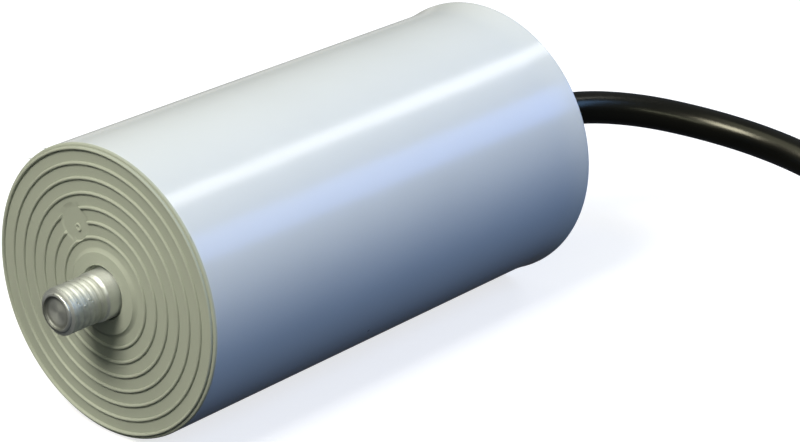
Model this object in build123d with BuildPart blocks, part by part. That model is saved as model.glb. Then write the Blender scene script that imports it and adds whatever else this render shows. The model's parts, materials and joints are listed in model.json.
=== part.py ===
"""A motor run capacitor in a moulded can, with a fixing stud at one end and a cable at the other.

Millimetres. The can's axis is the X axis. The origin is the centre of the mounting face.
The stud points to -X and the cable leaves towards +X. The can lies on its side, with +Z up.
"""

import os
from math import cos, pi, radians, tan

from build123d import *

# Can: one moulding, closed at the stud end and open at the cable end
can_length = 94.4  # from the mounting face to the mouth
body_radius = 24.8
can_wall = 1.3
end_thickness = 2.5  # of the closed end, behind its ridged face
inside_corner = 1.0
rim_rounding = 0.4  # of the closed end's outer edge
mouth_flare = 0.5  # how far the mouth opens beyond the body
flare_length = 7.0
mouth_lip_length = 0.5
mouth_rounding = 0.3

# Closed end: a boss round the stud, with moulded ridges round it
boss_height = 0.5
boss_radius = 6.8
boss_slope = 0.75
recess_radius = 4.6
recess_depth = 1.2
ridge_count = 7
first_ridge_radius = 9.25
rim_ridge_inset = 0.85  # from the body's outside to the middle of the last ridge
ridge_width = 0.6
ridge_height = 0.35

# Gate mark: a small flat disc where the plastic flowed in, with a pip at its centre
gate_y = 6.25
gate_z = 10.5
gate_radius = 3.1
gate_depth = 0.1
pip_radius = 0.6
pip_hole_radius = 0.3
pip_height = 0.3

# Stud: M8, with a hexagonal head held in a socket inside the can
thread_diameter = 7.9  # over the crests
stud_projection = 10.0
shank_diameter = 8.3
shank_projection = 2.0
tip_chamfer = 0.7
tip_lip_radius = 3.25
tip_dish_radius = 2.7
tip_dish_floor_radius = 1.9
tip_dish_depth = 0.5
head_across_flats = 13.0
head_thickness = 3.2
stud_clearance = 0.05
socket_clearance = 0.1
socket_wall = 2.0

# Capacitor element
disc_thickness = 1.0
disc_clearance = 0.2
resin_gap = 1.5  # between the element and the can's wall
head_space = 7.7  # between the upper spray and the lid, for the leads
spray_thickness = 0.8
spray_inset = 0.2
core_radius = 5.0
core_wall = 1.5
core_projection = 0.8
connection_gap = 3.0  # between the disc and the lower spray, for the joint there

# Leads from the cable to the two sprays
lead_diameter = 2.2
lead_spacing = 2.8
lead_bend = 1.8
lead_rise = 2.1  # from the upper spray to the middle of the lead that crosses it
lead_reach = 9.0  # from the can's axis to where the insulation ends
wire_diameter = 1.0
wire_length = 4.0
solder_radius = 1.8
solder_height = 2.6
notch_clearance = 0.3

# Lid, set inside the mouth, with a short tapered collar for the cable
lid_thickness = 2.0
lid_recess = 1.5
lid_seat_step = 0.4
lid_clearance = 0.1
collar_length = 4.0
collar_base_radius = 5.6
collar_tip_radius = 4.4
collar_rounding = 0.4
cable_clearance = 0.05

# Cable
cable_diameter = 6.2
bend_share = 0.45  # of the shorter run beside a corner, taken by its bend
cable_inner_length = 3.0  # of sheath inside the lid
tail_length = 26.0
tail_splay = 3.0
tail_straight_share = 0.35  # of the tail, before it turns down to the ground
tail_landing_share = 0.7  # of the tail, where it meets the ground
tail_landing_splay = 0.4  # of the splay, where it meets the ground
tinned_length = 8.0
tinned_diameter = 1.1

# Places along the axis, worked out from the sizes above
face_x = boss_height
recess_x = recess_depth
floor_x = face_x + end_thickness
socket_x = floor_x + head_thickness
disc_x = socket_x + disc_thickness
lower_spray_x = disc_x + connection_gap
winding_x = lower_spray_x + spray_thickness
lid_x = can_length - lid_recess - lid_thickness
upper_spray_x = lid_x - head_space
winding_end_x = upper_spray_x - spray_thickness
collar_x = lid_x + lid_thickness
exit_x = collar_x + collar_length
cable_inner_x = lid_x - cable_inner_length

# Radii, worked out from the sizes above
mouth_radius = body_radius + mouth_flare
cavity_radius = body_radius - can_wall
element_radius = cavity_radius - resin_gap
lid_seat_radius = cavity_radius + lid_seat_step
ridge_pitch = (body_radius - rim_ridge_inset - first_ridge_radius) / (ridge_count - 1)
stud_hole_radius = shank_diameter / 2 + stud_clearance
socket_across_flats = head_across_flats + 2 * socket_clearance
socket_radius = socket_across_flats / 2 / cos(radians(30)) + socket_wall
cable_radius = cable_diameter / 2
lead_radius = lead_diameter / 2
rest_z = cable_radius - mouth_radius  # middle of a cable that lies on the ground

# Cable route, from the collar to the end of its sheath
cable_points = [
    (exit_x, 0, 0),
    (107.9, 0, 0),
    (118.9, -3.5, 0),
    (128.4, -10.5, -1.5),
    (134.9, -20, -3.5),
    (138.4, -32, -5.3),
    (138.4, -45, -7),
    (139.4, -58.5, -11.8),
    (140.4, -72.5, -17),
    (138.9, -87, -20.8),
    (132.9, -100.5, rest_z),
    (122.4, -110.5, rest_z),
    (109.4, -116.5, rest_z),
    (95.4, -118.5, rest_z),
    (80.9, -117.5, rest_z),
    (66.9, -114, rest_z),
    (53.9, -109, rest_z),
]


def start_plane(points):
    """The plane square to a route's first run, at its first point."""
    first = Vector(*points[0])
    return Plane(origin=first, z_dir=Vector(*points[1]) - first)


def bend_radii(points):
    """For each corner of a route, an arc that takes a fixed share of the shorter run beside it."""
    corners = [Vector(*point) for point in points]
    runs = [end - start for start, end in zip(corners, corners[1:])]
    radii = []
    for before, after in zip(runs, runs[1:]):
        shorter = min(before.length, after.length)
        half_turn = radians(before.get_angle(after)) / 2
        radii.append(bend_share * shorter / tan(half_turn))
    return radii


os.makedirs("parts", exist_ok=True)

# Can: half of its section, turned about the axis
with BuildPart() as can:
    with BuildSketch(Plane.XZ):
        with BuildLine():
            Polyline(
                (recess_x, stud_hole_radius),
                (recess_x, recess_radius),
                (0, recess_radius),
                (0, boss_radius),
                (face_x, boss_radius + boss_slope),
                (face_x, body_radius - rim_rounding),
            )
            rim_x = face_x + rim_rounding
            RadiusArc((face_x, body_radius - rim_rounding), (rim_x, body_radius), rim_rounding)
            Line((rim_x, body_radius), (can_length - flare_length, body_radius))
            TangentArc(
                (can_length - flare_length, body_radius),
                (can_length - mouth_lip_length, mouth_radius),
                tangent=(1, 0),
            )
            Polyline(
                (can_length - mouth_lip_length, mouth_radius),
                (can_length, mouth_radius),
                (can_length, lid_seat_radius),
                (lid_x, lid_seat_radius),
                (lid_x, cavity_radius),
                (floor_x + inside_corner, cavity_radius),
            )
            RadiusArc(
                (floor_x + inside_corner, cavity_radius),
                (floor_x, cavity_radius - inside_corner),
                -inside_corner,
            )
            Polyline(
                (floor_x, cavity_radius - inside_corner),
                (floor_x, socket_radius),
                (socket_x, socket_radius),
                (socket_x, stud_hole_radius),
                (recess_x, stud_hole_radius),
            )
        make_face()
    revolve(axis=Axis.X)
    # Moulded ridges, each a low round bead
    with BuildSketch(Plane.XZ):
        for number in range(ridge_count):
            ridge_radius = first_ridge_radius + number * ridge_pitch
            inner = ridge_radius - ridge_width / 2
            outer = ridge_radius + ridge_width / 2
            with BuildLine():
                ThreePointArc((face_x, inner), (face_x - ridge_height, ridge_radius), (face_x, outer))
                Line((face_x, outer), (face_x, inner))
            make_face()
    revolve(axis=Axis.X)
    # Gate mark, cut through the ridges, with its pip
    with BuildSketch(Plane.YZ.offset(face_x + gate_depth)):
        with Locations((gate_y, gate_z)):
            Circle(gate_radius)
    extrude(amount=-(boss_height + gate_depth), mode=Mode.SUBTRACT)
    with BuildSketch(Plane.YZ.offset(face_x + gate_depth)):
        with Locations((gate_y, gate_z)):
            Circle(pip_radius)
            Circle(pip_hole_radius, mode=Mode.SUBTRACT)
    extrude(amount=-pip_height)
    # Hexagonal socket for the stud's head
    with BuildSketch(Plane.YZ.offset(socket_x)):
        RegularPolygon(socket_across_flats / 2, 6, major_radius=False)
    extrude(amount=-head_thickness, mode=Mode.SUBTRACT)
    mouth_edges = can.edges().filter_by(GeomType.CIRCLE).group_by(Axis.X)[-1]
    fillet(mouth_edges, mouth_rounding)
can.part.label = "can"
export_step(can.part, "parts/can.step")

# Stud: half of its section, turned about the axis, with a hexagonal head
tip_x = -stud_projection
with BuildPart() as stud:
    with BuildSketch(Plane.XZ):
        with BuildLine():
            Polyline(
                (floor_x, 0),
                (floor_x, shank_diameter / 2),
                (-shank_projection, shank_diameter / 2),
                (-shank_projection, thread_diameter / 2),
                (tip_x + tip_chamfer, thread_diameter / 2),
                (tip_x, tip_lip_radius),
                (tip_x, tip_dish_radius),
                (tip_x + tip_dish_depth, tip_dish_floor_radius),
                (tip_x + tip_dish_depth, 0),
                (floor_x, 0),
            )
        make_face()
    revolve(axis=Axis.X)
    with BuildSketch(Plane.YZ.offset(floor_x)):
        RegularPolygon(head_across_flats / 2, 6, major_radius=False)
    extrude(amount=head_thickness)
stud.part.label = "stud"
export_step(stud.part, "parts/stud.step")

# Insulating disc, between the stud's head and the capacitor element
with BuildPart() as insulating_disc:
    with BuildSketch(Plane.YZ.offset(socket_x)):
        Circle(cavity_radius - disc_clearance)
    extrude(amount=disc_thickness)
insulating_disc.part.label = "insulating_disc"
export_step(insulating_disc.part, "parts/insulating_disc.step")

# Core tube that the film is wound on, notched at its lower end to let a lead out
with BuildPart() as core_tube:
    with BuildSketch(Plane.YZ.offset(disc_x)):
        Circle(core_radius)
        Circle(core_radius - core_wall, mode=Mode.SUBTRACT)
    extrude(amount=upper_spray_x + core_projection - disc_x)
    with BuildSketch(Plane.YZ.offset(disc_x)):
        with Locations((0, -core_radius / 2)):
            Rectangle(lead_diameter + 2 * notch_clearance, core_radius)
    extrude(amount=connection_gap, mode=Mode.SUBTRACT)
core_tube.part.label = "core_tube"
export_step(core_tube.part, "parts/core_tube.step")

# Film winding: its turns are one solid
with BuildPart() as film_winding:
    with BuildSketch(Plane.YZ.offset(winding_x)):
        Circle(element_radius)
        Circle(core_radius, mode=Mode.SUBTRACT)
    extrude(amount=winding_end_x - winding_x)
film_winding.part.label = "film_winding"
export_step(film_winding.part, "parts/film_winding.step")

# Sprayed metal contacts on the two ends of the winding
spray_places = {"lower_spray": lower_spray_x, "upper_spray": winding_end_x}
for spray_name, spray_x in spray_places.items():
    with BuildPart() as spray:
        with BuildSketch(Plane.YZ.offset(spray_x)):
            Circle(element_radius - spray_inset)
            Circle(core_radius, mode=Mode.SUBTRACT)
        extrude(amount=spray_thickness)
    spray.part.label = spray_name
    export_step(spray.part, f"parts/{spray_name}.step")

# Lower lead: down through the core tube, then out through the notch
lower_crossing_x = disc_x + connection_gap / 2
lower_lead_points = [
    (cable_inner_x, 0, -lead_spacing / 2),
    (lower_crossing_x, 0, -lead_spacing / 2),
    (lower_crossing_x, 0, -lead_reach),
]
with BuildPart() as lower_lead:
    with BuildLine():
        FilletPolyline(lower_lead_points, radius=lead_bend)
    with BuildSketch(start_plane(lower_lead_points)):
        Circle(lead_radius)
    sweep()
lower_lead.part.label = "lower_lead"
export_step(lower_lead.part, "parts/lower_lead.step")

# Upper lead: across the top of the upper spray
upper_crossing_x = upper_spray_x + lead_rise
upper_lead_points = [
    (cable_inner_x, 0, lead_spacing / 2),
    (upper_crossing_x, 0, lead_spacing / 2),
    (upper_crossing_x, 0, lead_reach),
]
with BuildPart() as upper_lead:
    with BuildLine():
        FilletPolyline(upper_lead_points, radius=lead_bend)
    with BuildSketch(start_plane(upper_lead_points)):
        Circle(lead_radius)
    sweep()
upper_lead.part.label = "upper_lead"
export_step(upper_lead.part, "parts/upper_lead.step")

# Bare wire at the end of each lead
with BuildPart() as lower_wire:
    with BuildSketch(Plane.XY.offset(-lead_reach)):
        with Locations((lower_crossing_x, 0)):
            Circle(wire_diameter / 2)
    extrude(amount=-wire_length)
lower_wire.part.label = "lower_wire"
export_step(lower_wire.part, "parts/lower_wire.step")

with BuildPart() as upper_wire:
    with BuildSketch(Plane.XY.offset(lead_reach)):
        with Locations((upper_crossing_x, 0)):
            Circle(wire_diameter / 2)
    extrude(amount=wire_length)
upper_wire.part.label = "upper_wire"
export_step(upper_wire.part, "parts/upper_wire.step")

# Solder that joins each wire to its spray
solder_z = lead_reach + wire_length - solder_radius / 2
with BuildPart() as lower_solder:
    with BuildSketch(Plane.YZ.offset(lower_spray_x)):
        with Locations((0, -solder_z)):
            Circle(solder_radius)
    extrude(amount=-solder_height)
    add(lower_wire.part, mode=Mode.SUBTRACT)
lower_solder.part.label = "lower_solder"
export_step(lower_solder.part, "parts/lower_solder.step")

with BuildPart() as upper_solder:
    with BuildSketch(Plane.YZ.offset(upper_spray_x)):
        with Locations((0, solder_z)):
            Circle(solder_radius)
    extrude(amount=solder_height)
    add(upper_wire.part, mode=Mode.SUBTRACT)
upper_solder.part.label = "upper_solder"
export_step(upper_solder.part, "parts/upper_solder.step")

# Cable's inner end: the sheath from inside the resin to the collar's tip
with BuildPart() as cable_inner_end:
    with BuildSketch(Plane.YZ.offset(cable_inner_x)):
        Circle(cable_radius)
    extrude(amount=exit_x - cable_inner_x)
cable_inner_end.part.label = "cable_inner_end"
export_step(cable_inner_end.part, "parts/cable_inner_end.step")

# Lid, with its collar round the cable
with BuildPart() as lid:
    with BuildSketch(Plane.XZ):
        with BuildLine():
            Polyline(
                (lid_x, cable_radius + cable_clearance),
                (lid_x, lid_seat_radius - lid_clearance),
                (collar_x, lid_seat_radius - lid_clearance),
                (collar_x, collar_base_radius),
                (exit_x, collar_tip_radius),
                (exit_x, cable_radius + cable_clearance),
                (lid_x, cable_radius + cable_clearance),
            )
        make_face()
    revolve(axis=Axis.X)
    tip_edge = lid.edges().filter_by(GeomType.CIRCLE).group_by(Axis.X)[-1].sort_by(SortBy.RADIUS)[-1]
    fillet(tip_edge, collar_rounding)
lid.part.label = "lid"
export_step(lid.part, "parts/lid.step")

# Potting resin: fills the can round the element and up to the lid
with BuildPart() as potting_resin:
    with BuildSketch(Plane.YZ.offset(disc_x)):
        Circle(cavity_radius)
    extrude(amount=lid_x - disc_x)
    with BuildSketch(Plane.YZ.offset(lower_spray_x)):
        Circle(element_radius)
    extrude(amount=upper_spray_x - lower_spray_x, mode=Mode.SUBTRACT)
    with BuildSketch(Plane.YZ.offset(disc_x)):
        Circle(core_radius)
    extrude(amount=upper_spray_x + core_projection - disc_x, mode=Mode.SUBTRACT)
    with BuildSketch(Plane.YZ.offset(cable_inner_x)):
        Circle(cable_radius)
    extrude(amount=cable_inner_length, mode=Mode.SUBTRACT)
    for lead in (lower_lead, upper_lead, lower_wire, upper_wire):
        add(lead.part, mode=Mode.SUBTRACT)
    with BuildSketch(Plane.YZ.offset(lower_spray_x)):
        with Locations((0, -solder_z)):
            Circle(solder_radius)
    extrude(amount=-solder_height, mode=Mode.SUBTRACT)
    with BuildSketch(Plane.YZ.offset(upper_spray_x)):
        with Locations((0, solder_z)):
            Circle(solder_radius)
    extrude(amount=solder_height, mode=Mode.SUBTRACT)
potting_resin.part.label = "potting_resin"
export_step(potting_resin.part, "parts/potting_resin.step")

# Cable: the free stretch of its sheath
cable_radii = bend_radii(cable_points)
with BuildPart() as cable:
    with BuildLine() as cable_line:
        FilletPolyline(cable_points, radius=cable_radii)
    with BuildSketch(start_plane(cable_points)):
        Circle(cable_radius)
    sweep()
cable.part.label = "cable"
export_step(cable.part, "parts/cable.step")
print("cable radii", [round(radius, 1) for radius in cable_radii])
cable_length = sum(edge.length for edge in cable_line.edges())
print("cable length", round(cable_length, 2))
print("cable volume", round(cable.part.volume), "of", round(pi * cable_radius**2 * cable_length))

# Tails: the cable's two insulated cores past the end of the sheath, with tinned ends
sheath_end = Vector(*cable_points[-1])
along = (sheath_end - Vector(*cable_points[-2])).normalized()
aside = Vector(0, 0, 1).cross(along)
tail_rest_z = lead_radius - mouth_radius
for tail_name, side in {"brown": 1, "blue": -1}.items():
    start = sheath_end + aside * side * lead_spacing / 2
    leaving = start + along * tail_length * tail_straight_share
    landing = start + along * tail_length * tail_landing_share
    landing += aside * side * tail_splay * tail_landing_splay
    end = start + along * tail_length + aside * side * tail_splay
    tail_points = [
        (start.X, start.Y, start.Z),
        (leaving.X, leaving.Y, leaving.Z),
        (landing.X, landing.Y, tail_rest_z),
        (end.X, end.Y, tail_rest_z),
    ]
    with BuildPart() as tail:
        with BuildLine():
            FilletPolyline(tail_points, radius=bend_radii(tail_points))
        with BuildSketch(start_plane(tail_points)):
            Circle(lead_radius)
        sweep()
    tail.part.label = f"tail_{tail_name}"
    export_step(tail.part, f"parts/tail_{tail_name}.step")

    tip_direction = Vector(*tail_points[-1]) - Vector(*tail_points[-2])
    with BuildPart() as tinned_end:
        with BuildSketch(Plane(origin=tail_points[-1], z_dir=tip_direction)):
            Circle(tinned_diameter / 2)
        extrude(amount=tinned_length)
    tinned_end.part.label = f"tinned_end_{tail_name}"
    export_step(tinned_end.part, f"parts/tinned_end_{tail_name}.step")
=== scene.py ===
import json
import math

import bpy
import numpy as np
from mathutils import Matrix, Vector

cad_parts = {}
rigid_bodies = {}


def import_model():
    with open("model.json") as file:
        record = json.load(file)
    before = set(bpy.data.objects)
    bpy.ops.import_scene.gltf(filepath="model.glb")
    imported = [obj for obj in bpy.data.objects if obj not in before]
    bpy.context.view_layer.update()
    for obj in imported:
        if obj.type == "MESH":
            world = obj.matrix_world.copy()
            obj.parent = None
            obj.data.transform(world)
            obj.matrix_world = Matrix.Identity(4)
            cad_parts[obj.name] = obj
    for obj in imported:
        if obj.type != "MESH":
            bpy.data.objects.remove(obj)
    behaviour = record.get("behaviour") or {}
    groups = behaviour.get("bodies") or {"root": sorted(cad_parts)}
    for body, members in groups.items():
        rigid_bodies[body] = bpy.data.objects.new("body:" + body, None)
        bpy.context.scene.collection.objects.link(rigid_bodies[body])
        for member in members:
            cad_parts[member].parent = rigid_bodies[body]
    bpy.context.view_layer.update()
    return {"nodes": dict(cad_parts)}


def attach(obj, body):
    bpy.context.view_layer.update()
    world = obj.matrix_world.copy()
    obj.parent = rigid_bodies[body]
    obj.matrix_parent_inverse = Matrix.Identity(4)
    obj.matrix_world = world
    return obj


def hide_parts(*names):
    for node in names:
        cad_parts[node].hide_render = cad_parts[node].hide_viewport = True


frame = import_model()
cadNodes = frame["nodes"]
print("frame loaded:", len(cadNodes), "nodes")

mm = 0.001
sceneObjects = bpy.context.scene.collection.objects


# Joins a rows x columns grid of points into four-sided faces. The columns always close into a ring,
# the rows only where wrapRows is set, and a pole puts one middle point past the first or last row.
def skinGrid(name, grid, wrapRows=False, startPole=None, endPole=None, sharpAngle=32.0):
    rows, columns = grid.shape[:2]
    points = grid.reshape(-1, 3)
    index = np.arange(rows * columns).reshape(rows, columns)
    around = np.roll(index, -1, axis=1)
    if wrapRows:
        lower, lowerNext = index, around
        upper, upperNext = np.roll(index, -1, axis=0), np.roll(around, -1, axis=0)
    else:
        lower, lowerNext = index[:-1], around[:-1]
        upper, upperNext = index[1:], around[1:]
    quads = np.stack([lower, lowerNext, upperNext, upper], axis=-1).reshape(-1, 4)
    triangles = np.zeros((0, 3), int)
    if startPole is not None:
        middle = np.full(columns, len(points))
        points = np.vstack([points, startPole])
        triangles = np.vstack([triangles, np.stack([middle, around[0], index[0]], axis=-1)])
    if endPole is not None:
        middle = np.full(columns, len(points))
        points = np.vstack([points, endPole])
        triangles = np.vstack([triangles, np.stack([middle, index[-1], around[-1]], axis=-1)])
    # six times the volume is the sum of a . (b x c) over the triangles; below zero means inside out
    allThree = np.vstack([quads[:, [0, 1, 2]], quads[:, [0, 2, 3]], triangles])
    a, b, c = (points[allThree[:, k]] for k in range(3))
    if np.einsum("ij,ij->", a, np.cross(b, c)) < 0:
        quads, triangles = quads[:, ::-1], triangles[:, ::-1]
    mesh = bpy.data.meshes.new(name)
    mesh.from_pydata(points.tolist(), [], quads.tolist() + triangles.tolist())
    mesh.shade_smooth()
    mesh.set_sharp_from_angle(angle=math.radians(sharpAngle))
    made = bpy.data.objects.new(name, mesh)
    sceneObjects.link(made)
    return made


# Turns a profile about the X axis: the point at angle t is (x, r cos t, r sin t).
def turnAboutX(x, radius, angles):
    x, radius, angles = np.broadcast_arrays(x, radius, angles)
    return np.stack([x, radius * np.cos(angles), radius * np.sin(angles)], axis=-1)


# Rises smoothly from 0 to 1 as value goes from start to end: 3s^2 - 2s^3.
def easeStep(value, start, end):
    s = np.clip((value - start) / (end - start), 0, 1)
    return s * s * (3 - 2 * s)


# Distance from the middle of a hexagon to its side at each angle: apothem / cos(angle off the nearest flat).
def hexagonRadius(acrossFlats, angles):
    offFlat = (angles + math.pi / 6) % (math.pi / 3) - math.pi / 6
    return acrossFlats / 2 / np.cos(offFlat)


# Sweeps a ring along points: at each point the ring stands square to the path, on a frame carried
# forward from the one before by taking away its part along the path.
def sweepRing(path, ringRadius, angles):
    path = np.asarray(path, float)
    along = np.gradient(path, axis=0)
    along /= np.linalg.norm(along, axis=1)[:, None]
    side = np.cross(along[0], [0.0, 0.0, 1.0])
    sides = []
    for direction in along:
        side = side - direction * side.dot(direction)
        side = side / np.linalg.norm(side)
        sides.append(side)
    sides = np.array(sides)
    ups = np.cross(sides, along)
    ring = np.broadcast_to(ringRadius, (len(path), len(angles)))
    return (
        path[:, None, :]
        + sides[:, None, :] * (ring * np.cos(angles))[..., None]
        + ups[:, None, :] * (ring * np.sin(angles))[..., None]
    )


def addNode(tree, kind, inputs=None, **settings):
    node = tree.nodes.new(kind)
    for key, value in settings.items():
        setattr(node, key, value)
    for key, value in (inputs or {}).items():
        if isinstance(value, bpy.types.NodeSocket):
            tree.links.new(value, node.inputs[key])
        else:
            node.inputs[key].default_value = value
    return node


def addMath(tree, operation, first, second=0.0, third=0.0):
    return addNode(tree, "ShaderNodeMath", {0: first, 1: second, 2: third}, operation=operation).outputs[0]


def mixColour(tree, factor, first, second):
    node = addNode(tree, "ShaderNodeMix", data_type="RGBA")
    for socket, value in ((node.inputs[0], factor), (node.inputs[6], first), (node.inputs[7], second)):
        if isinstance(value, bpy.types.NodeSocket):
            tree.links.new(value, socket)
        else:
            socket.default_value = value
    return node.outputs[2]


def easeNode(tree, value, low, high, outLow=0.0, outHigh=1.0):
    return addNode(
        tree,
        "ShaderNodeMapRange",
        {"Value": value, "From Min": low, "From Max": high, "To Min": outLow, "To Max": outHigh},
        interpolation_type="SMOOTHSTEP",
    ).outputs["Result"]


def startGroup(name, inputs, outputs):
    group = bpy.data.node_groups.new(name, "ShaderNodeTree")
    for label, kind, value in inputs:
        socket = group.interface.new_socket(label, in_out="INPUT", socket_type=kind)
        if value is not None:
            socket.default_value = value
    for label in outputs:
        group.interface.new_socket(label, in_out="OUTPUT", socket_type="NodeSocketFloat")
    return group, addNode(group, "NodeGroupInput"), addNode(group, "NodeGroupOutput")


# Moulded grain: fine noise for the height, broad noise for slow changes of tone, and rare small specks.
def makeMouldedGrain():
    group, given, result = startGroup(
        "mouldedGrain",
        [
            ("Vector", "NodeSocketVector", None),
            ("Fine Scale", "NodeSocketFloat", 3000.0),
            ("Cloud Scale", "NodeSocketFloat", 60.0),
            ("Speck Scale", "NodeSocketFloat", 250.0),
            ("Speck Size", "NodeSocketFloat", 0.1),
        ],
        ["Height", "Cloud", "Speck"],
    )
    place = given.outputs["Vector"]
    fine = addNode(
        group, "ShaderNodeTexNoise", {"Vector": place, "Scale": given.outputs["Fine Scale"], "Detail": 3.0}
    )
    cloud = addNode(
        group, "ShaderNodeTexNoise", {"Vector": place, "Scale": given.outputs["Cloud Scale"], "Detail": 4.0}
    )
    cells = addNode(
        group,
        "ShaderNodeTexVoronoi",
        {"Vector": place, "Scale": given.outputs["Speck Scale"], "Randomness": 1.0},
    )
    chosen = addNode(group, "ShaderNodeSeparateColor", {"Color": cells.outputs["Color"]})
    rare = addMath(group, "GREATER_THAN", chosen.outputs[0], 0.93)
    small = addMath(group, "LESS_THAN", cells.outputs["Distance"], given.outputs["Speck Size"])
    group.links.new(fine.outputs["Fac"], result.inputs["Height"])
    group.links.new(cloud.outputs["Fac"], result.inputs["Cloud"])
    group.links.new(addMath(group, "MULTIPLY", rare, small), result.inputs["Speck"])
    return group


# Handling marks: thin lines where a stretched noise crosses its middle value, kept to a few patches.
def makeHandlingMarks():
    group, given, result = startGroup(
        "handlingMarks",
        [
            ("Vector", "NodeSocketVector", None),
            ("Scale", "NodeSocketFloat", 90.0),
            ("Line Width", "NodeSocketFloat", 0.006),
            ("Stretch", "NodeSocketVector", (1.0, 1.0, 1.0)),
        ],
        ["Mask"],
    )
    stretched = addNode(
        group,
        "ShaderNodeVectorMath",
        {0: given.outputs["Vector"], 1: given.outputs["Stretch"]},
        operation="MULTIPLY",
    )
    lines = addNode(
        group,
        "ShaderNodeTexNoise",
        {"Vector": stretched.outputs[0], "Scale": given.outputs["Scale"], "Detail": 1.0, "Distortion": 0.6},
    )
    offMiddle = addMath(group, "ABSOLUTE", addMath(group, "SUBTRACT", lines.outputs["Fac"], 0.5))
    thin = addMath(group, "LESS_THAN", offMiddle, given.outputs["Line Width"])
    patches = addNode(
        group, "ShaderNodeTexNoise", {"Vector": given.outputs["Vector"], "Scale": 55.0, "Detail": 2.0}
    )
    kept = easeNode(group, patches.outputs["Fac"], 0.55, 0.68)
    group.links.new(addMath(group, "MULTIPLY", thin, kept), result.inputs["Mask"])
    return group


mouldedGrain = makeMouldedGrain()
handlingMarks = makeHandlingMarks()


def startMaterial(name, surface):
    material = bpy.data.materials.new(name)
    material.use_nodes = True
    tree = material.node_tree
    tree.nodes.clear()
    output = addNode(tree, "ShaderNodeOutputMaterial")
    shader = addNode(tree, "ShaderNodeBsdfPrincipled")
    for label, value in surface.items():
        shader.inputs[label].default_value = value
    tree.links.new(shader.outputs["BSDF"], output.inputs["Surface"])
    place = addNode(tree, "ShaderNodeTexCoord").outputs["Object"]
    return material, tree, shader, place


def addGroup(tree, group, inputs):
    node = tree.nodes.new("ShaderNodeGroup")
    node.node_tree = group
    for label, value in inputs.items():
        if isinstance(value, bpy.types.NodeSocket):
            tree.links.new(value, node.inputs[label])
        else:
            node.inputs[label].default_value = value
    return node


def addGrain(tree, place, fine, cloud=60.0, speck=250.0, size=0.1):
    scales = {"Fine Scale": fine, "Cloud Scale": cloud, "Speck Scale": speck, "Speck Size": size}
    return addGroup(tree, mouldedGrain, {"Vector": place, **scales})


def addBump(tree, shader, height, distance):
    bump = addNode(tree, "ShaderNodeBump", {"Strength": 1.0, "Distance": distance, "Height": height})
    tree.links.new(bump.outputs["Normal"], shader.inputs["Normal"])


# Goes evenly from low to high as the factor goes from 0 to 1.
def blendNode(tree, factor, low, high):
    inputs = {"Value": factor, "To Min": low, "To Max": high}
    return addNode(tree, "ShaderNodeMapRange", inputs).outputs["Result"]


# Distance from the X axis: the root of y^2 + z^2.
def distanceFromX(tree, axes):
    y, z = axes.outputs["Y"], axes.outputs["Z"]
    return addMath(tree, "SQRT", addMath(tree, "MULTIPLY_ADD", y, y, addMath(tree, "MULTIPLY", z, z)))


# The same colour with its brightness times a share.
def dimmed(colour, share):
    return tuple(share * value for value in colour[:3]) + (1,)


canFinish = {
    "sideColour": (0.612, 0.626, 0.603, 1),
    "sideDimming": 0.985,
    "faceColour": (0.352, 0.378, 0.312, 1),
    "faceDimming": 0.95,
    "darkSpeck": (0.09, 0.08, 0.06, 1),
    "sideRoughness": 0.17,
    "faceRoughness": 0.72,
    # along X: where the face's finish gives way to the side's on the rim's rounding
    "faceEdge": (0.78, 0.9),
    # within this distance of the axis the finish runs on into the recess, up to a depth along X
    "faceReach": 23.5,
    "faceDepth": 2.9,
}


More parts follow.
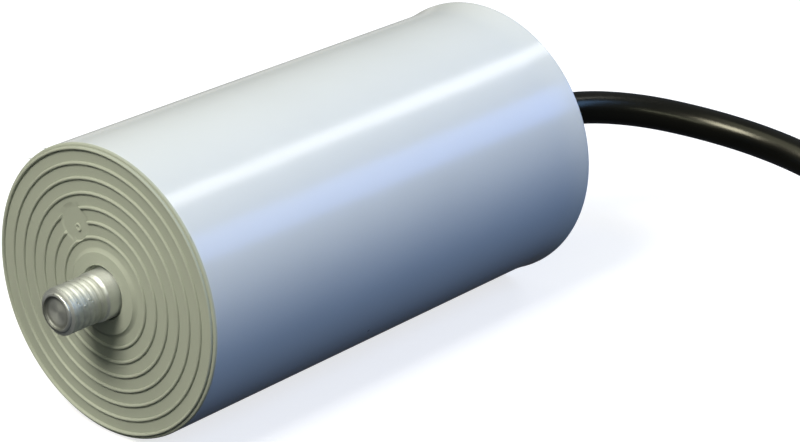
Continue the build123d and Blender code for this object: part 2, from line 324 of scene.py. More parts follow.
# One moulding with two finishes: the side comes off polished steel, the end face off an eroded plate.
# The face mask is 1 at the closed end: round the rim's edge as far as x reaches, and everywhere within it.
def makeCanMaterial():
    material, tree, shader, place = startMaterial("canPlastic", {"IOR": 1.5})
    axes = addNode(tree, "ShaderNodeSeparateXYZ", {"Vector": place})
    edgeStart, edgeEnd = (edge * mm for edge in canFinish["faceEdge"])
    roundEdge = easeNode(tree, axes.outputs["X"], edgeStart, edgeEnd, 1.0, 0.0)
    within = addMath(tree, "LESS_THAN", distanceFromX(tree, axes), canFinish["faceReach"] * mm)
    atEnd = addMath(tree, "LESS_THAN", axes.outputs["X"], canFinish["faceDepth"] * mm)
    onFace = addMath(tree, "MULTIPLY", addMath(tree, "MAXIMUM", roundEdge, within), atEnd)
    grain = addGrain(tree, place, 5200.0, cloud=38.0, speck=120.0, size=0.035)
    fineLines = {"Scale": 70.0, "Line Width": 0.0015, "Stretch": (0.5, 1.0, 1.0)}
    marks = addGroup(tree, handlingMarks, {"Vector": place, **fineLines})
    cloud = easeNode(tree, grain.outputs["Cloud"], 0.35, 0.65)
    side, face = canFinish["sideColour"], canFinish["faceColour"]
    sideTone = mixColour(tree, cloud, dimmed(side, canFinish["sideDimming"]), side)
    faceTone = mixColour(tree, cloud, dimmed(face, canFinish["faceDimming"]), face)
    tone = mixColour(tree, onFace, sideTone, faceTone)
    specks = addMath(tree, "MULTIPLY", grain.outputs["Speck"], 0.7)
    tone = mixColour(tree, specks, tone, canFinish["darkSpeck"])
    tree.links.new(tone, shader.inputs["Base Color"])
    plain = blendNode(tree, onFace, canFinish["sideRoughness"], canFinish["faceRoughness"])
    smudged = addMath(tree, "MULTIPLY_ADD", cloud, 0.03, plain)
    rough = addMath(tree, "MULTIPLY_ADD", marks.outputs["Mask"], 0.04, smudged)
    tree.links.new(rough, shader.inputs["Roughness"])
    # the polished side keeps slow waves from the mould, the face a fine even grain
    waves = addNode(tree, "ShaderNodeTexNoise", {"Vector": place, "Scale": 55.0, "Detail": 2.0})
    sideGrain = addMath(tree, "MULTIPLY", grain.outputs["Height"], 0.012)
    sideHeight = addMath(tree, "MULTIPLY_ADD", waves.outputs["Fac"], 3.0, sideGrain)
    faceHeight = addMath(tree, "MULTIPLY", grain.outputs["Height"], 0.55)
    addBump(tree, shader, blendNode(tree, onFace, sideHeight, faceHeight), 0.00004)
    return material


studFinish = {
    "aluminium": (0.74, 0.76, 0.73, 1),
    "dullPatches": (0.60, 0.62, 0.58, 1),
    "brightShank": (0.80, 0.82, 0.80, 1),
    # the dark colour of the painted shade in the thread's roots and on the tip
    "shadeColour": (0.13, 0.135, 0.12, 1),
    "darkSpeck": (0.12, 0.11, 0.1, 1),
    "metallic": 0.9,
    "roughness": 0.64,
    "tipRoughness": 0.42,
    "lineRoughness": 0.22,
    "rootRoughness": 0.15,
    "shankPolish": -0.16,
    "lengthwaysSpread": 0.62,
    # along X: where the tip gives way to the thread, and the thread to the shank
    "tipEdge": (-9.7, -9.3),
    "shankEdge": (-3.1, -2.1),
}


# Rolled aluminium: bright crests, thread roots and tip darkened by painted shade (from the mesh's grooveShade
# value), and fine marks from the tool, short along the stud and long round it.
def makeStudMaterial():
    finish = studFinish
    material, tree, shader, place = startMaterial(
        "studMetal", {"Metallic": finish["metallic"], "Anisotropic Rotation": 0.25}
    )
    # turned marks run round the stud, so gloss spreads along it, a quarter turn from the way round
    wayRound = addNode(tree, "ShaderNodeTangent", direction_type="RADIAL", axis="X")
    tree.links.new(wayRound.outputs[0], shader.inputs["Tangent"])
    along = addNode(tree, "ShaderNodeSeparateXYZ", {"Vector": place}).outputs["X"]
    pastTip = easeNode(tree, along, *(edge * mm for edge in finish["tipEdge"]))
    onShank = easeNode(tree, along, *(edge * mm for edge in finish["shankEdge"]))
    spread = addMath(tree, "MULTIPLY", pastTip, finish["lengthwaysSpread"])
    tree.links.new(spread, shader.inputs["Anisotropic"])
    grooveShade = addNode(tree, "ShaderNodeAttribute", attribute_name="grooveShade", attribute_type="GEOMETRY")
    grain = addGrain(tree, place, 2600.0, cloud=420.0, speck=900.0, size=0.2)
    drawnOut = addNode(tree, "ShaderNodeVectorMath", {0: place, 1: (1.0, 0.12, 0.12)}, operation="MULTIPLY")
    lines = addNode(
        tree, "ShaderNodeTexNoise", {"Vector": drawnOut.outputs[0], "Scale": 5200.0, "Detail": 2.0}
    )
    cloud = easeNode(tree, grain.outputs["Cloud"], 0.35, 0.68)
    bare = mixColour(tree, cloud, finish["dullPatches"], finish["aluminium"])
    bare = mixColour(tree, onShank, bare, finish["brightShank"])
    # painted shade from the mesh darkens the thread's roots and the tip, and makes them rougher
    shadeShare = addMath(tree, "MULTIPLY", easeNode(tree, grooveShade.outputs["Fac"], 0.2, 1.0), 0.8)
    tone = mixColour(tree, shadeShare, bare, finish["shadeColour"])
    specks = addMath(tree, "MULTIPLY", grain.outputs["Speck"], 0.5)
    tone = mixColour(tree, specks, tone, finish["darkSpeck"])
    tree.links.new(tone, shader.inputs["Base Color"])
    # the lines' noise is a half on average, so half of its share comes off the plain roughness
    halfLines = finish["lineRoughness"] / 2
    plain = blendNode(tree, pastTip, finish["tipRoughness"] - halfLines, finish["roughness"] - halfLines)
    rough = addMath(tree, "MULTIPLY_ADD", lines.outputs["Fac"], finish["lineRoughness"], plain)
    rough = addMath(tree, "MULTIPLY_ADD", shadeShare, finish["rootRoughness"], rough)
    rough = addMath(tree, "MULTIPLY_ADD", onShank, finish["shankPolish"], rough)
    tree.links.new(rough, shader.inputs["Roughness"])
    height = addMath(tree, "MULTIPLY", grain.outputs["Height"], 0.5)
    height = addMath(tree, "MULTIPLY_ADD", lines.outputs["Fac"], 0.6, height)
    addBump(tree, shader, height, 0.00005)
    return material


sheathFinish = {
    "IOR": 1.5,
    "Specular Tint": (1.0, 0.98, 0.82, 1),
}
dustColour = (0.2, 0.19, 0.16, 1)


# Soft plastic such as a cable's sheath or a core's insulation: fine grain, slow changes of tone and
# roughness, specks of dust, and handling marks that are duller.
def makeSheathMaterial(name, colour, paler, roughness, gloss=0.5):
    surface = {**sheathFinish, "Specular IOR Level": gloss}
    material, tree, shader, place = startMaterial(name, surface)
    grain = addGrain(tree, place, 4200.0, cloud=70.0, speck=600.0, size=0.09)
    marks = addGroup(tree, handlingMarks, {"Vector": place, "Scale": 120.0})
    cloud = easeNode(tree, grain.outputs["Cloud"], 0.35, 0.65)
    tone = mixColour(tree, cloud, colour, paler)
    dust = addMath(tree, "MULTIPLY", grain.outputs["Speck"], 0.25)
    tone = mixColour(tree, dust, tone, dustColour)
    tree.links.new(tone, shader.inputs["Base Color"])
    rough = addMath(tree, "MULTIPLY_ADD", cloud, 0.05, roughness)
    rough = addMath(tree, "MULTIPLY_ADD", marks.outputs["Mask"], 0.08, rough)
    tree.links.new(rough, shader.inputs["Roughness"])
    addBump(tree, shader, grain.outputs["Height"], 0.000012)
    return material


# Plain moulded, cast or cut material for the lid and the sealed pieces inside: grain, slow tone and specks.
def makeGrainMaterial(name, colour, darker, roughness, fineScale, metallic=0.0, bumpDepth=0.00002):
    material, tree, shader, place = startMaterial(name, {"Metallic": metallic, "IOR": 1.5})
    grain = addGrain(tree, place, fineScale, cloud=fineScale / 40, speck=fineScale / 8, size=0.12)
    cloud = easeNode(tree, grain.outputs["Cloud"], 0.35, 0.65)
    tone = mixColour(tree, cloud, darker, colour)
    specks = addMath(tree, "MULTIPLY", grain.outputs["Speck"], 0.4)
    tone = mixColour(tree, specks, tone, darker)
    tree.links.new(tone, shader.inputs["Base Color"])
    rough = addMath(tree, "MULTIPLY_ADD", grain.outputs["Height"], 0.16, roughness - 0.08)
    tree.links.new(rough, shader.inputs["Roughness"])
    addBump(tree, shader, grain.outputs["Height"], bumpDepth)
    return material


filmFinish = {
    "darkEdge": (0.42, 0.41, 0.40, 1),
    "bright": (0.66, 0.65, 0.64, 1),
    "turnsPerMetre": 9000.0,
}


# Metallised film, wound: thin rings about the axis from the distance to it, bright with fine dark edges.
def makeFilmMaterial():
    material, tree, shader, place = startMaterial("metallisedFilm", {"Metallic": 0.9})
    axes = addNode(tree, "ShaderNodeSeparateXYZ", {"Vector": place})
    turns = addMath(tree, "MULTIPLY", distanceFromX(tree, axes), filmFinish["turnsPerMetre"])
    edge = easeNode(tree, addMath(tree, "FRACT", turns), 0.0, 0.5)
    tone = mixColour(tree, edge, filmFinish["darkEdge"], filmFinish["bright"])
    tree.links.new(tone, shader.inputs["Base Color"])
    grain = addGrain(tree, place, 3000.0)
    rough = addMath(tree, "MULTIPLY_ADD", grain.outputs["Height"], 0.2, 0.2)
    tree.links.new(rough, shader.inputs["Roughness"])
    addBump(tree, shader, edge, 0.00001)
    return material


canPlastic = makeCanMaterial()
studMetal = makeStudMaterial()
cableSheath = makeSheathMaterial(
    "cableSheath", (0.002, 0.002, 0.0015, 1), (0.0035, 0.0035, 0.0025, 1), 0.21, gloss=0.38
)
coreBrown = makeSheathMaterial("coreBrown", (0.115, 0.045, 0.018, 1), (0.15, 0.062, 0.026, 1), 0.34)
coreBlue = makeSheathMaterial("coreBlue", (0.018, 0.095, 0.32, 1), (0.026, 0.125, 0.38, 1), 0.34)
lidPlastic = makeGrainMaterial("lidPlastic", (0.05, 0.05, 0.052, 1), (0.035, 0.035, 0.037, 1), 0.5, 4200.0)
tinnedCopper = makeGrainMaterial(
    "tinnedCopper", (0.72, 0.71, 0.69, 1), (0.5, 0.49, 0.46, 1), 0.3, 5200.0, metallic=1.0, bumpDepth=0.00001
)
zincSpray = makeGrainMaterial(
    "zincSpray", (0.46, 0.46, 0.45, 1), (0.33, 0.33, 0.33, 1), 0.6, 3600.0, metallic=0.85, bumpDepth=0.00006
)
solderAlloy = makeGrainMaterial(
    "solderAlloy", (0.68, 0.67, 0.66, 1), (0.55, 0.54, 0.53, 1), 0.25, 2200.0, metallic=1.0, bumpDepth=0.00001
)
corePlastic = makeGrainMaterial("corePlastic", (0.62, 0.60, 0.52, 1), (0.56, 0.54, 0.46, 1), 0.45, 3800.0)
pressBoard = makeGrainMaterial("pressBoard", (0.30, 0.23, 0.13, 1), (0.22, 0.16, 0.085, 1), 0.75, 1800.0)
pottingResin = makeGrainMaterial("pottingResin", (0.085, 0.06, 0.03, 1), (0.055, 0.04, 0.02, 1), 0.3, 900.0)
filmWinding = makeFilmMaterial()
print("materials made")


def dress(made, material, body="root"):
    made.data.materials.clear()
    made.data.materials.append(material)
    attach(made, body)


can = {
    "length": 94.4,
    "bodyRadius": 24.8,
    "cavityRadius": 23.5,
    "floor": 3.0,
    "insideCorner": 1.0,
    "rimRounding": 0.4,
    "sideGap": 0.25,  # from the rim's rounding to the first row of the side
    "flareStart": 87.4,
    "mouthRadius": 25.3,
    "mouthLip": 0.5,
    "mouthRounding": 0.3,
    "mouthBevel": 0.25,
    "lidSeatRadius": 23.9,
    "lidSeat": 90.9,
    "bossHeight": 0.5,
    "bossRadius": 6.8,
    "bossFoot": 7.55,
    "recessRadius": 4.6,
    "recessDepth": 1.2,
    "recessShift": (0.15, 0.08),
    "edgeSoftness": 0.12,
    "studHole": 4.2,
    "socketDepth": 3.2,
    "socketFlats": 13.2,
    "socketWall": 9.62,
    "ridgeRadii": np.linspace(9.25, 23.95, 7),
    "ridgeWidth": 0.6,
    "ridgeFoot": 1.14,  # where a ridge meets the face, in half widths from its middle
    "ridgeHeight": 0.35,
    "lastRidgeBolder": 1.25,
    "gateY": 6.25,
    "gateZ": 10.5,
    "gateRadius": 3.1,
    "gateDepth": 0.1,
    "columns": 512,
    "sideRows": 8,
}


# The end face, from the recess outwards. Its outline is a plateau plus one bead for each ridge: along the
# bead u = -cos(t) and the height is sin(t)^0.9. Inside the gate disc the beads fade out and the face drops
# by the disc's depth. The shift moves the recess off the axis and dies out across the boss.
def canFaceRows(angles, shift):
    face, soft, radii = can["bossHeight"], can["edgeSoftness"], can["ridgeRadii"]
    # each row: radius, level of the plateau, height of the bead
    rows = [
        (can["recessRadius"], 0.1, 0),
        (can["recessRadius"] + soft, 0, 0),
        (can["bossRadius"] - 0.1, 0, 0),
        (can["bossRadius"] + soft, 0.03, 0),
    ]
    slope = can["bossFoot"] - can["bossRadius"]
    for share in (0.3, 0.55, 0.8, 1.0, 1.15):
        rows.append((can["bossRadius"] + share * slope, face * float(easeStep(share, -0.15, 1.15)), 0))
    sweep = np.linspace(0, math.pi, 15)
    across = np.concatenate([[-can["ridgeFoot"]], -np.cos(sweep), [can["ridgeFoot"]]])
    profile = np.concatenate([[0], np.sin(sweep) ** 0.9, [0]])
    for middle in radii:
        bolder = can["lastRidgeBolder"] if middle == radii[-1] else 1.0
        for u, height in zip(across, profile):
            rows.append((middle + u * can["ridgeWidth"] / 2, face, height * bolder * can["ridgeHeight"]))
        if middle < radii[-1]:
            for share in (0.42, 0.5, 0.58):
                rows.append((middle + share * (radii[1] - radii[0]), face, 0))
    radius, level, bead = (np.array(column)[:, None] for column in zip(*rows))
    fromGate = np.hypot(radius * np.cos(angles) - can["gateY"], radius * np.sin(angles) - can["gateZ"])
    outside = easeStep(fromGate, can["gateRadius"] - 0.1, can["gateRadius"] + soft)
    faceX = level - bead * outside + can["gateDepth"] * (1 - outside)
    moved = 1 - easeStep(radius, can["recessRadius"] + 0.15, can["bossRadius"] - 0.3)
    return turnAboutX(faceX, radius + shift * moved, angles)


# The rest of the outline, as x and radius: rim, side, flared mouth and lid seat, then the cavity back to
# the socket. The side's rows close up towards both of its ends, so that the shading bends only there. The
# flare grows with the square of the distance along it.
def canOuterOutline():
    face, length, body = can["bossHeight"], can["length"], can["bodyRadius"]
    quarter = np.linspace(0, math.pi / 2, 6)
    rimTurn = np.linspace(0, math.pi / 2, 8)[1:]
    rimX = face + can["rimRounding"] * (1 - np.cos(rimTurn))
    rimRadius = body - can["rimRounding"] * (1 - np.sin(rimTurn))
    sideStart = face + can["rimRounding"] + can["sideGap"]
    closing = 0.5 - 0.5 * np.cos(np.linspace(0, math.pi, can["sideRows"]))
    sideX = sideStart + (can["flareStart"] - sideStart) * closing
    flareEnd = length - can["mouthLip"]
    flareX = np.linspace(can["flareStart"], flareEnd, 12)[1:]
    share = (flareX - can["flareStart"]) / (flareEnd - can["flareStart"])
    flareRadius = body + (can["mouthRadius"] - body) * share**2
    mouthX = length - can["mouthRounding"] * (1 - np.sin(quarter))
    mouthRadius = can["mouthRadius"] - can["mouthRounding"] * (1 - np.cos(quarter))
    cornerX = can["floor"] + can["insideCorner"] * (1 - np.sin(quarter))
    cornerRadius = can["cavityRadius"] - can["insideCorner"] * (1 - np.cos(quarter))
    return np.vstack(
        [
            np.stack([rimX, rimRadius], axis=-1),
            np.stack([sideX, np.full(can["sideRows"], body)], axis=-1),
            np.stack([flareX, flareRadius], axis=-1),
            np.stack([mouthX, mouthRadius], axis=-1),
            [length, can["lidSeatRadius"] + can["mouthBevel"]],
            [length - can["mouthBevel"], can["lidSeatRadius"]],
            [can["lidSeat"], can["lidSeatRadius"]],
            [can["lidSeat"], can["cavityRadius"]],
            np.stack([cornerX, cornerRadius], axis=-1),
            [can["floor"], can["socketWall"]],
            [can["floor"] + can["socketDepth"], can["socketWall"]],
        ]
    )


# The can is a closed outline turned about X: the end face, the outside, the cavity with its hexagonal
# socket, the stud's hole and the recess.
def makeCan():
    angles = np.linspace(0, 2 * math.pi, can["columns"], endpoint=False)
    shift = can["recessShift"][0] * np.cos(angles) + can["recessShift"][1] * np.sin(angles)
    outline = canOuterOutline()
    hexagon = hexagonRadius(can["socketFlats"], angles)
    floor, deep = can["floor"], can["recessDepth"]
    grid = np.concatenate(
        [
            canFaceRows(angles, shift),
            turnAboutX(outline[:, :1], outline[:, 1:], angles),
            turnAboutX(floor + can["socketDepth"], hexagon[None, :], angles),
            turnAboutX(floor, hexagon[None, :], angles),
            turnAboutX(np.array([[floor], [deep]]), can["studHole"], angles),
            turnAboutX(deep - 0.02, can["recessRadius"] + shift[None, :], angles),
        ]
    )
    return skinGrid("canShell", grid * mm, wrapRows=True)


canShell = makeCan()
dress(canShell, canPlastic)
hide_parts("can")
print("can made:", len(canShell.data.polygons), "faces")


stud = {
    "tip": -10.0,
    "dishDepth": 0.5,
    "dishFloor": 1.9,
    # painted shade on the floor of the tip's dish
    "dishShade": 0.5,
    "dishEdge": 2.72,
    "lipFoot": 2.82,
    "lipRadius": 3.3,
    "lipRounding": 0.3,
    "chamfer": 0.65,
    "threadStart": 0.4,  # from the tip to the first row of the thread
    "threadRadius": 3.95,
    "threadDepth": 0.115,
    "crestShare": 0.33,  # of half a pitch
    "flankShare": 0.6,
    # painted shade in the thread's roots
    "rootShade": 0.34,
    "pitch": 1.25,
    "threadEnd": -2.0,
    "runOut": 0.75,  # from where the thread starts to fade to its end
    "shankRadius": 4.15,
    "headStart": 3.0,
    "headEnd": 6.2,
    "headFlats": 13.0,
    "headBevel": 0.3,
    "columns": 192,
    "rowsPerTurn": 20,
    # nicks struck into the crests, and burrs beside them where the depth is below zero: x, angle from +Z
    # towards -Y in degrees, size, depth
    "nicks": [
        (-8.2, 58, 0.13, 0.2),
        (-7.8, 66, 0.15, -0.16),
        (-7.45, 61, 0.13, 0.2),
        (-7.1, 70, 0.14, -0.17),
        (-6.7, 64, 0.12, 0.2),
        (-6.3, 69, 0.15, 0.24),
        (-5.9, 60, 0.12, -0.16),
        (-5.4, 66, 0.15, 0.24),
        (-5.1, 71, 0.12, -0.16),
        (-4.1, 62, 0.12, 0.16),
    ],
}


# The thread is a helix written as a radius over the grid: the phase is x / pitch less the share of a turn,
# and the depth is 0 at a crest and full at a root, rounded by a cosine. It fades out at the shank and is
# cut by the tip's cone. Painted shade darkens the roots.
def studThreadRows(angles):
    start, end = stud["tip"] + stud["threadStart"], stud["threadEnd"]
    turns = (end + 0.6 - start) / stud["pitch"]
    x = np.linspace(start, end + 0.1, int(turns * stud["rowsPerTurn"]))[:, None]
    phase = (x / stud["pitch"] - angles / (2 * math.pi)) % 1
    fromCrest = 1 - np.abs(2 * phase - 1)
    hollow = np.clip((fromCrest - stud["crestShare"]) / stud["flankShare"], 0, 1)
    rootDepth = 0.5 - 0.5 * np.cos(math.pi * hollow)
    fade = 1 - easeStep(x, end - stud["runOut"], end - 0.05)
    swell = (stud["shankRadius"] - stud["threadRadius"]) * easeStep(x, end - 0.5, end)
    radius = stud["threadRadius"] + swell - stud["threadDepth"] * rootDepth * fade
    # a nick's depth falls off from its middle as a bell curve, and leaves the roots alone
    for nickX, nickAngle, size, depth in stud["nicks"]:
        offset = (angles - math.radians(90 + nickAngle) + math.pi) % (2 * math.pi) - math.pi
        reach = ((x - nickX) ** 2 + (offset * stud["threadRadius"]) ** 2) / size**2
        radius = radius - depth * np.exp(-reach * 1.5) * (1 - rootDepth)
    slope = (stud["threadRadius"] - stud["lipRadius"]) / (stud["chamfer"] - stud["threadStart"])
    cone = stud["lipRadius"] + 0.04 + (x - start) * slope
    radius = np.minimum(radius, cone)
    # painted shade: the thread's roots are darkened, except where the tip's cone cuts the thread
    paintedShade = stud["rootShade"] * rootDepth * fade * (radius < cone - 0.02)
    return turnAboutX(x, radius, angles), paintedShade


# The tip from its middle outwards: a dished floor, a steep wall and a lip rounded on its outside. Each row
# is x from the tip, radius, painted shade. Past the dish's floor more painted shade lies low on the +Y side,
# by the cosine of the angle from its middle.
def studTipRows(angles):
    dish, floor, edge = stud["dishDepth"], stud["dishFloor"], stud["dishEdge"]
    turn = np.linspace(0, math.pi / 2, 7)
    lipX = stud["lipRounding"] * (1 - np.cos(turn))
    lipRadius = stud["lipFoot"] + (stud["lipRadius"] - stud["lipFoot"]) * np.sin(turn)
    outline = np.vstack(
        [
            [dish, 0.7, stud["dishShade"]],
            [dish, floor, 0.55],
            [dish - 0.02, edge - 0.25, 0.9],
            [dish - 0.1, edge - 0.08, 1.0],
            [0.2, edge, 1.0],
            [0.03, edge + 0.04, 0.9],
            np.stack([lipX, lipRadius, 0.5 * np.sin(turn) ** 6], axis=-1),
            [0.34, stud["lipRadius"] + 0.02, 0.95],
        ]
    )
    x, radius, paintedShade = (outline[:, k : k + 1] for k in range(3))
    # painted shade: darker on the tip's low +Y side, by the cosine of the angle from 315 degrees
    lowSideShade = 1.2 * easeStep(radius, floor, edge) * np.clip(np.cos(angles - math.radians(315)), 0, 1)
    return turnAboutX(stud["tip"] + x, radius, angles), np.clip(paintedShade + lowSideShade, 0, 1)


# The stud is one outline turned about X: tip, thread, shank and hexagonal head. Its painted shade is kept on
# the mesh as the grooveShade value, row by row from the tip, with the tip's middle point last but one.
def makeStud():
    angles = np.linspace(0, 2 * math.pi, stud["columns"], endpoint=False)
    tipRows, tipShade = studTipRows(angles)
    threadRows, threadShade = studThreadRows(angles)
    headStart, headEnd = stud["headStart"], stud["headEnd"]
    shankX = np.array([[stud["threadEnd"] + 0.3], [headStart]])
    hexagon = hexagonRadius(stud["headFlats"], angles)[None, :]
    grid = np.concatenate(
        [
            tipRows,
            threadRows,
            turnAboutX(shankX, stud["shankRadius"], angles),
            turnAboutX(headStart, hexagon, angles),
            turnAboutX(headEnd - stud["headBevel"], hexagon, angles),
            turnAboutX(headEnd, np.minimum(hexagon, stud["headFlats"] / 2), angles),
        ]
    )
    startPole = [[(stud["tip"] + stud["dishDepth"]) * mm, 0, 0]]
    endPole = [[headEnd * mm, 0, 0]]
    made = skinGrid("threadedStud", grid * mm, startPole=startPole, endPole=endPole, sharpAngle=50)
    paintedShade = np.concatenate([tipShade.ravel(), threadShade.ravel()])
    values = np.zeros(len(made.data.vertices), np.float32)
    values[: paintedShade.size] = paintedShade
    values[-2] = stud["dishShade"]
    made.data.attributes.new("grooveShade", "FLOAT", "POINT").data.foreach_set("value", values)
    return made


threadedStud = makeStud()
dress(threadedStud, studMetal)
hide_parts("stud")
print("stud made:", len(threadedStud.data.polygons), "faces")


pip = {"y": 5.45, "z": 9.85, "radius": 0.6, "hole": 0.3, "height": 0.3, "base": 0.62}


# The pip is a small ring outline turned about its own line along X. It is drawn out a little one way, and
# its top leans.
def makePip():
    angles = np.linspace(0, 2 * math.pi, 48, endpoint=False)
    base, hole, outer = pip["base"], pip["hole"], pip["radius"]
    top = base - pip["height"]
    outline = np.array(
        [
            [base - 0.02, 0.12],
            [base - 0.04, hole * 0.8],
            [top + 0.08, hole],
            [top, hole + 0.1],
            [top + 0.02, outer - 0.12],
            [top + 0.12, outer - 0.03],
            [base + 0.06, outer],
        ]
    )
    drawn = 1 + 0.22 * np.cos(2 * (angles - 0.9)) + 0.05 * np.cos(3 * angles)
    rows = turnAboutX(outline[:, :1], outline[:, 1:] * drawn, angles)
    rows[3:6, :, 0] += 0.07 * np.cos(angles - 2.4)
    grid = (rows + np.array([0, pip["y"], pip["z"]])) * mm
    startPole = [[(base - 0.02) * mm, pip["y"] * mm, pip["z"] * mm]]
    endPole = [[(base + 0.06) * mm, pip["y"] * mm, pip["z"] * mm]]
    return skinGrid("gatePip", grid, startPole=startPole, endPole=endPole, sharpAngle=50)


gatePip = makePip()
dress(gatePip, canPlastic)

flash = {
    # slivers left on the rim: y, z, length, lean
    "slivers": [(-19.4, 15.0, 0.9, 0.5), (12.5, 21.55, 0.8, -0.6), (16.3, 18.8, 1.0, -0.3)],
    "rootX": 0.75,
    "rootRadius": 24.7,
    "lift": 0.28,
    "overhang": 0.45,
    "thickness": 0.075,
    "taper": 0.75,
}


# A sliver is a tapering ring swept along a short curl that starts on the rim and leans round it.
def makeSliver(number, y, z, length, lean):
    outwards = np.array([0.0, y, z]) / math.hypot(y, z)
    roundRim = np.array([0.0, -outwards[2], outwards[1]])
    steps = np.linspace(0, 1, 9)[:, None]
    root = outwards * flash["rootRadius"] + np.array([flash["rootX"], 0, 0])
    curl = root + outwards * flash["lift"] * np.sin(steps * 1.9) + roundRim * length * lean * steps**1.3
    curl = curl + np.array([-flash["overhang"], 0, 0]) * steps
    angles = np.linspace(0, 2 * math.pi, 10, endpoint=False)
    grid = sweepRing(curl, flash["thickness"] * (1 - flash["taper"] * steps), angles) * mm
    startPole, endPole = curl[:1] * mm, curl[-1:] * mm
    return skinGrid(f"rimFlash{number}", grid, startPole=startPole, endPole=endPole, sharpAngle=60)


for number, sliver in enumerate(flash["slivers"], 1):
    dress(makeSliver(number, *sliver), canPlastic)
print("gate pip and flash made")


cable = {
    "diameter": 6.2,
    "points": [
        (96.9, 0, 0),
        (107.9, 0, 0),
        (118.9, -3.5, 0),
        (128.4, -10.5, -1.5),
        (134.9, -20, -3.5),
        (138.4, -32, -5.3),
        (138.4, -45, -7),
        (139.4, -58.5, -11.8),
        (140.4, -72.5, -17),
        (138.9, -87, -20.8),
        (132.9, -100.5, -22.2),
        (122.4, -110.5, -22.2),
        (109.4, -116.5, -22.2),
        (95.4, -118.5, -22.2),
        (80.9, -117.5, -22.2),
        (66.9, -114, -22.2),
        (53.9, -109, -22.2),
    ],
    "length": 0.2158,  # in metres, along its middle line
}


# A smooth line with the given points as its control points, thick all round.
def makeCord(name, points, diameter):
    curve = bpy.data.curves.new(name, "CURVE")
    curve.dimensions = "3D"
    spline = curve.splines.new("NURBS")
    spline.points.add(len(points) - 1)
    flat = np.ones((len(points), 4), np.float32)
    flat[:, :3] = np.array(points, np.float32) * mm
    spline.points.foreach_set("co", flat.ravel())
    spline.order_u = 3
    spline.use_endpoint_u = True
    spline.resolution_u = 12
    curve.bevel_depth = diameter / 2 * mm
    curve.bevel_resolution = 10
    curve.use_fill_caps = True
    made = bpy.data.objects.new(name, curve)
    sceneObjects.link(made)
    return made


cableRun = makeCord("cableRun", cable["points"], cable["diameter"])
dress(cableRun, cableSheath)
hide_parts("cable")

tails = {
    "diameter": 2.2,
    "spacing": 2.8,
    "length": 26.0,
    "straightShare": 0.35,  # of the length, before a core turns down to the ground
    "landingShare": 0.7,
    "splay": 3.0,
    "landingSplay": 0.4,  # of the splay, where a core meets the ground
    "restZ": -24.2,
    "tinnedLength": 8.0,
    "tinnedDiameter": 1.1,
    "strands": 7,
    "twist": 3.2,
    "lobeDepth": 0.14,
}


# Where each core runs: straight on from the sheath, down to the ground, then a little apart.
def tailPoints(side):
    last, before = (np.array(cable["points"][k], float) for k in (-1, -2))
    along = (last - before) / np.linalg.norm(last - before)
    aside = np.cross([0, 0, 1], along) * side
    start = last + aside * tails["spacing"] / 2
    leaving = start + along * tails["length"] * tails["straightShare"]
    landing = start + along * tails["length"] * tails["landingShare"]
    landing += aside * tails["splay"] * tails["landingSplay"]
    end = start + along * tails["length"] + aside * tails["splay"]
    landing[2] = end[2] = tails["restZ"]
    return [start, leaving, landing, end]


# A tinned bunch of strands: a ring with one lobe for each strand, its lobes turning as it goes along.
def makeTinnedEnd(name, points):
    along = (points[-1] - points[-2]) / np.linalg.norm(points[-1] - points[-2])
    steps = np.linspace(0, 1, 60)[:, None]
    path = points[-1] + along * steps * tails["tinnedLength"]
    angles = np.linspace(0, 2 * math.pi, 84, endpoint=False)
    lobes = np.abs(np.sin(tails["strands"] / 2 * (angles + steps * tails["twist"])))
    full = tails["tinnedDiameter"] / 2 * (1 - tails["lobeDepth"] * (1 - lobes**0.7))
    taper = 1 - 0.35 * easeStep(steps, 0.94, 1.0)
    grid = sweepRing(path, full * taper, angles) * mm
    return skinGrid(name, grid, startPole=path[:1] * mm, endPole=path[-1:] * mm, sharpAngle=55)


onCable = []
for tailName, tailSide, tailMaterial in (("brown", 1, coreBrown), ("blue", -1, coreBlue)):
    points = tailPoints(tailSide)
    core = makeCord(f"core_{tailName}", points, tails["diameter"])
    dress(core, tailMaterial)
    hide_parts(f"tail_{tailName}")
    tinned = makeTinnedEnd(f"tinned_{tailName}", points)
    dress(tinned, tinnedCopper)
    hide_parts(f"tinned_end_{tailName}")
    onCable += [core, tinned]

print("cable made")


keptFinishes = {
    "lid": lidPlastic,
    "cable_inner_end": cableSheath,
    "insulating_disc": pressBoard,
    "core_tube": corePlastic,
    "film_winding": filmWinding,
    "lower_spray": zincSpray,
    "upper_spray": zincSpray,
    "lower_lead": coreBlue,
    "upper_lead": coreBrown,
    "lower_wire": tinnedCopper,
    "upper_wire": tinnedCopper,
    "lower_solder": solderAlloy,
    "upper_solder": solderAlloy,
    "potting_resin": pottingResin,
}
for nodeName, finish in keptFinishes.items():
    cadNodes[nodeName].data.materials.clear()
    cadNodes[nodeName].data.materials.append(finish)
print("kept pieces dressed:", len(keptFinishes))


stage = {
    "floorLevel": -0.0253,
    "floorReach": 4.0,
    "seenWhite": 0.72,
    "seenShade": 0.42,
    "glossNear": 0.05,
    "glossFar": 0.6,
    "glossRise": (0.1, 0.4),  # along Y, behind the object
    "bounceColour": (0.004, 0.008, 0.016, 1),
}


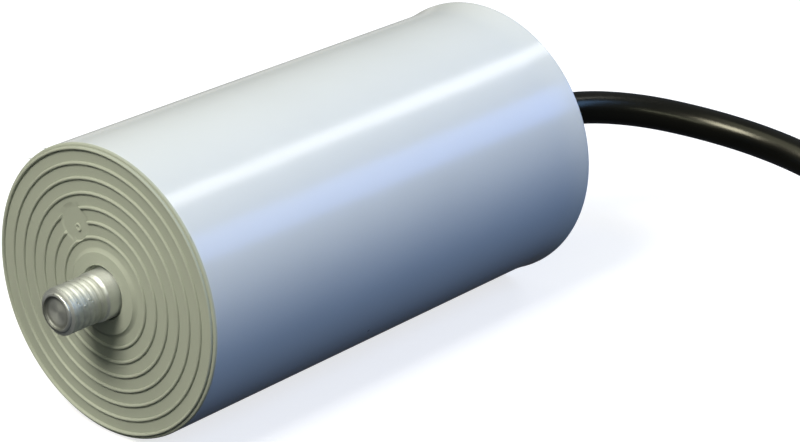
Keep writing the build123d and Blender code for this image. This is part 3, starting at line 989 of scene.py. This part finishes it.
# The floor is seen as white with the object's shadow on it. In gloss it is dim near the camera and grows
# brighter behind the object. What it throws back up as soft light is very dim, as a dark table would.
def makeFloor():
    reach, level = stage["floorReach"], stage["floorLevel"]
    mesh = bpy.data.meshes.new("floor")
    corners = [(-reach, -reach, level), (reach, -reach, level), (reach, reach, level), (-reach, reach, level)]
    mesh.from_pydata(corners, [], [(0, 1, 2, 3)])
    floor = bpy.data.objects.new("floor", mesh)
    sceneObjects.link(floor)
    material = bpy.data.materials.new("floorPaint")
    material.use_nodes = True
    tree = material.node_tree
    tree.nodes.clear()
    output = addNode(tree, "ShaderNodeOutputMaterial")
    path = addNode(tree, "ShaderNodeLightPath")
    place = addNode(tree, "ShaderNodeTexCoord").outputs["Object"]
    across = addNode(tree, "ShaderNodeSeparateXYZ", {"Vector": place}).outputs["Y"]
    glossShare = easeNode(tree, across, *stage["glossRise"], stage["glossNear"], stage["glossFar"])
    inGloss = addMath(tree, "MULTIPLY", path.outputs["Is Glossy Ray"], glossShare)
    seen = addMath(tree, "MAXIMUM", path.outputs["Is Camera Ray"], inGloss)
    seen = addMath(tree, "MAXIMUM", seen, path.outputs["Is Transmission Ray"])
    shade, white = stage["seenShade"], stage["seenWhite"]
    lit = addNode(tree, "ShaderNodeBsdfDiffuse", {"Color": (shade, shade, shade, 1)})
    glow = addNode(tree, "ShaderNodeEmission", {"Color": (white, white, white, 1), "Strength": 1.0})
    both = addNode(tree, "ShaderNodeAddShader", {0: lit.outputs[0], 1: glow.outputs[0]})
    matt = addNode(tree, "ShaderNodeBsdfDiffuse", {"Color": stage["bounceColour"]})
    mixed = addNode(tree, "ShaderNodeMixShader", {0: seen, 1: matt.outputs[0], 2: both.outputs[0]})
    tree.links.new(mixed.outputs[0], output.inputs["Surface"])
    mesh.materials.append(material)


makeFloor()

aim = Vector((0.047, 0.0, 0.0))
# each soft box: direction from the object, distance, width and height, turn in degrees, strength, colour
softBoxes = {
    "key": [(-0.655, -0.065, 0.75), 1.2, (0.42, 0.42), 0, 24.8, (1.04, 1.0, 0.88)],
    "front": [(-0.665, -0.567, 0.46), 1.0, (0.75, 0.08), -28, 6.6, (0.96, 1.0, 0.82)],
    "ceiling": [(-0.24, 0.29, 0.93), 1.2, (0.8, 0.8), 0, 1.6, (1.0, 1.0, 0.8)],
    "streak": [(0.705, -0.165, 0.70), 1.3, (0.75, 0.18), 12, 5.6, (1.0, 1.0, 1.0)],
    "blueBand": [(0.76, -0.58, 0.38), 1.3, (0.55, 0.36), 0, 4.2, (0.24, 0.42, 1.1)],
    "coolSide": [(0.33, -0.72, 0.56), 1.4, (0.55, 0.8), 0, 4.2, (0.31, 0.63, 1.34)],
}


# A soft box's power is its brightness times pi times its area, so its strength is what a mirror would show.
def makeSoftBox(name, towards, distance, size, spin, strength, colour):
    lamp = bpy.data.lights.new(name, "AREA")
    lamp.shape = "RECTANGLE"
    lamp.size, lamp.size_y = size
    lamp.energy = strength * math.pi * lamp.size * lamp.size_y
    lamp.color = colour
    holder = bpy.data.objects.new(name, lamp)
    sceneObjects.link(holder)
    direction = Vector(towards).normalized()
    holder.location = aim + direction * distance
    # the box's width lies along the can as far as it can, before its turn
    across = Vector((1, 0, 0)) - direction * direction.x
    across.normalize()
    up = direction.cross(across)
    turn = Matrix.Rotation(math.radians(spin), 3, direction)
    holder.rotation_euler = (turn @ Matrix((across, up, direction)).transposed()).to_euler()
    holder.visible_camera = False


for boxName, box in softBoxes.items():
    makeSoftBox(boxName, *box)

sky = {
    "top": (0.22, 0.23, 0.23, 1),
    "warmHorizon": (0.052, 0.048, 0.038, 1),
    "coolHorizon": (0.05, 0.065, 0.095, 1),
    "climb": (-0.1, 0.9),
    "crossing": (-0.7, 0.5),
}


# The sky is dim. It grows brighter with height, and its horizon goes from warm at -X to cool at +X.
def makeSky():
    world = bpy.data.worlds.new("studio")
    bpy.context.scene.world = world
    world.use_nodes = True
    tree = world.node_tree
    tree.nodes.clear()
    towards = addNode(tree, "ShaderNodeTexCoord").outputs["Generated"]
    axes = addNode(tree, "ShaderNodeSeparateXYZ", {"Vector": towards})
    height = easeNode(tree, axes.outputs["Z"], *sky["climb"])
    sideways = easeNode(tree, axes.outputs["X"], *sky["crossing"])
    horizon = mixColour(tree, sideways, sky["warmHorizon"], sky["coolHorizon"])
    colour = mixColour(tree, height, horizon, sky["top"])
    backdrop = addNode(tree, "ShaderNodeBackground", {"Color": colour, "Strength": 1.0})
    output = addNode(tree, "ShaderNodeOutputWorld")
    tree.links.new(backdrop.outputs[0], output.inputs["Surface"])


makeSky()

cameraPlace = {
    "at": (-0.26442, -0.29290, 0.17383),
    "right": (0.6565, -0.7544, 0.0),
    "forward": (0.69751, 0.60703, -0.38077),
    "lens": 121.2,
}


# The camera's three axes are its right, its up and the way behind it, each at a right angle to the others.
def makeCamera():
    lens = bpy.data.cameras.new("camera")
    lens.sensor_fit = "HORIZONTAL"
    lens.sensor_width = 36.0
    lens.lens = cameraPlace["lens"]
    lens.clip_start, lens.clip_end = 0.01, 20.0
    camera = bpy.data.objects.new("camera", lens)
    sceneObjects.link(camera)
    behind = -Vector(cameraPlace["forward"]).normalized()
    right = Vector(cameraPlace["right"])
    right = (right - behind * right.dot(behind)).normalized()
    up = behind.cross(right)
    turned = Matrix((right, up, behind)).transposed().to_4x4()
    turned.translation = Vector(cameraPlace["at"])
    camera.matrix_world = turned
    bpy.context.scene.camera = camera


makeCamera()
bpy.context.scene.view_settings.view_transform = "Standard"
print("stage, light and camera made")
